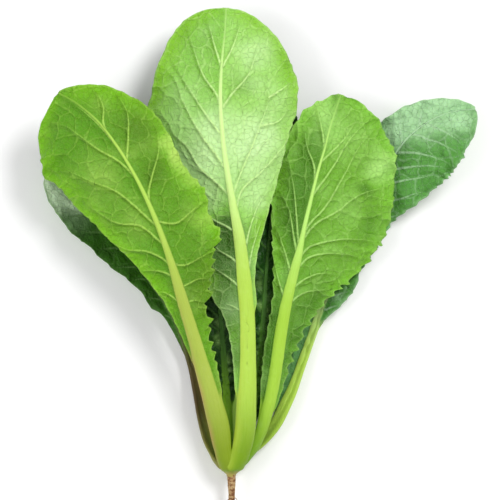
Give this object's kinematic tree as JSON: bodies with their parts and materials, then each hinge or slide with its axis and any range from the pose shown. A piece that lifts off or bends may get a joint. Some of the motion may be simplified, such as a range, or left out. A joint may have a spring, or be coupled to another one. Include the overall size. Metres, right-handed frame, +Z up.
{
  "type": "bok choy",
  "caption": "Young loose-leaf bok choy with its thin taproot, lying on its back with broad green leaves fanned out from one crown.",
  "frame": {"origin": "flat spot under the rear centre stalk, 20 mm up the plant from the root collar, where it lies on the surface", "axes": "+Y up the plant from root to leaf tips, +Z up from the surface towards the front leaves, +X to the right seen from above"},
  "size_m": [0.2628, 0.3281, 0.0585],
  "materials": {
    "leaf_back": "satin light green leaf back with raised pale veins",
    "leaf_face": "glossy dark green leaf face with sunken veins",
    "heart_leaf": "dark crinkled inner leaf",
    "stalk": "smooth waxy yellow-green leaf stalk with fine lengthwise fibres",
    "heart_stalk": "smooth pale green inner stalk",
    "crown": "green stem base with faint leaf scars",
    "taproot": "cream root skin with brown blotches and ring marks"
  },
  "bodies": {
    "root": {"crown": "crown", "taproot": "taproot", "leaf_front_left_blade": "leaf_back", "leaf_front_left_stalk": "stalk", "leaf_front_centre_blade": "leaf_back", "leaf_front_centre_stalk": "stalk", "leaf_front_right_blade": "leaf_back", "leaf_front_right_stalk": "stalk", "leaf_back_left_blade": "leaf_face", "leaf_back_left_stalk": "stalk", "leaf_back_centre_blade": "leaf_face", "leaf_back_centre_stalk": "stalk", "leaf_back_right_blade": "leaf_face", "leaf_back_right_stalk": "stalk", "heart_left_blade": "heart_leaf", "heart_left_stalk": "heart_stalk", "heart_right_blade": "heart_leaf", "heart_right_stalk": "heart_stalk"}
  },
  "joints": []
}
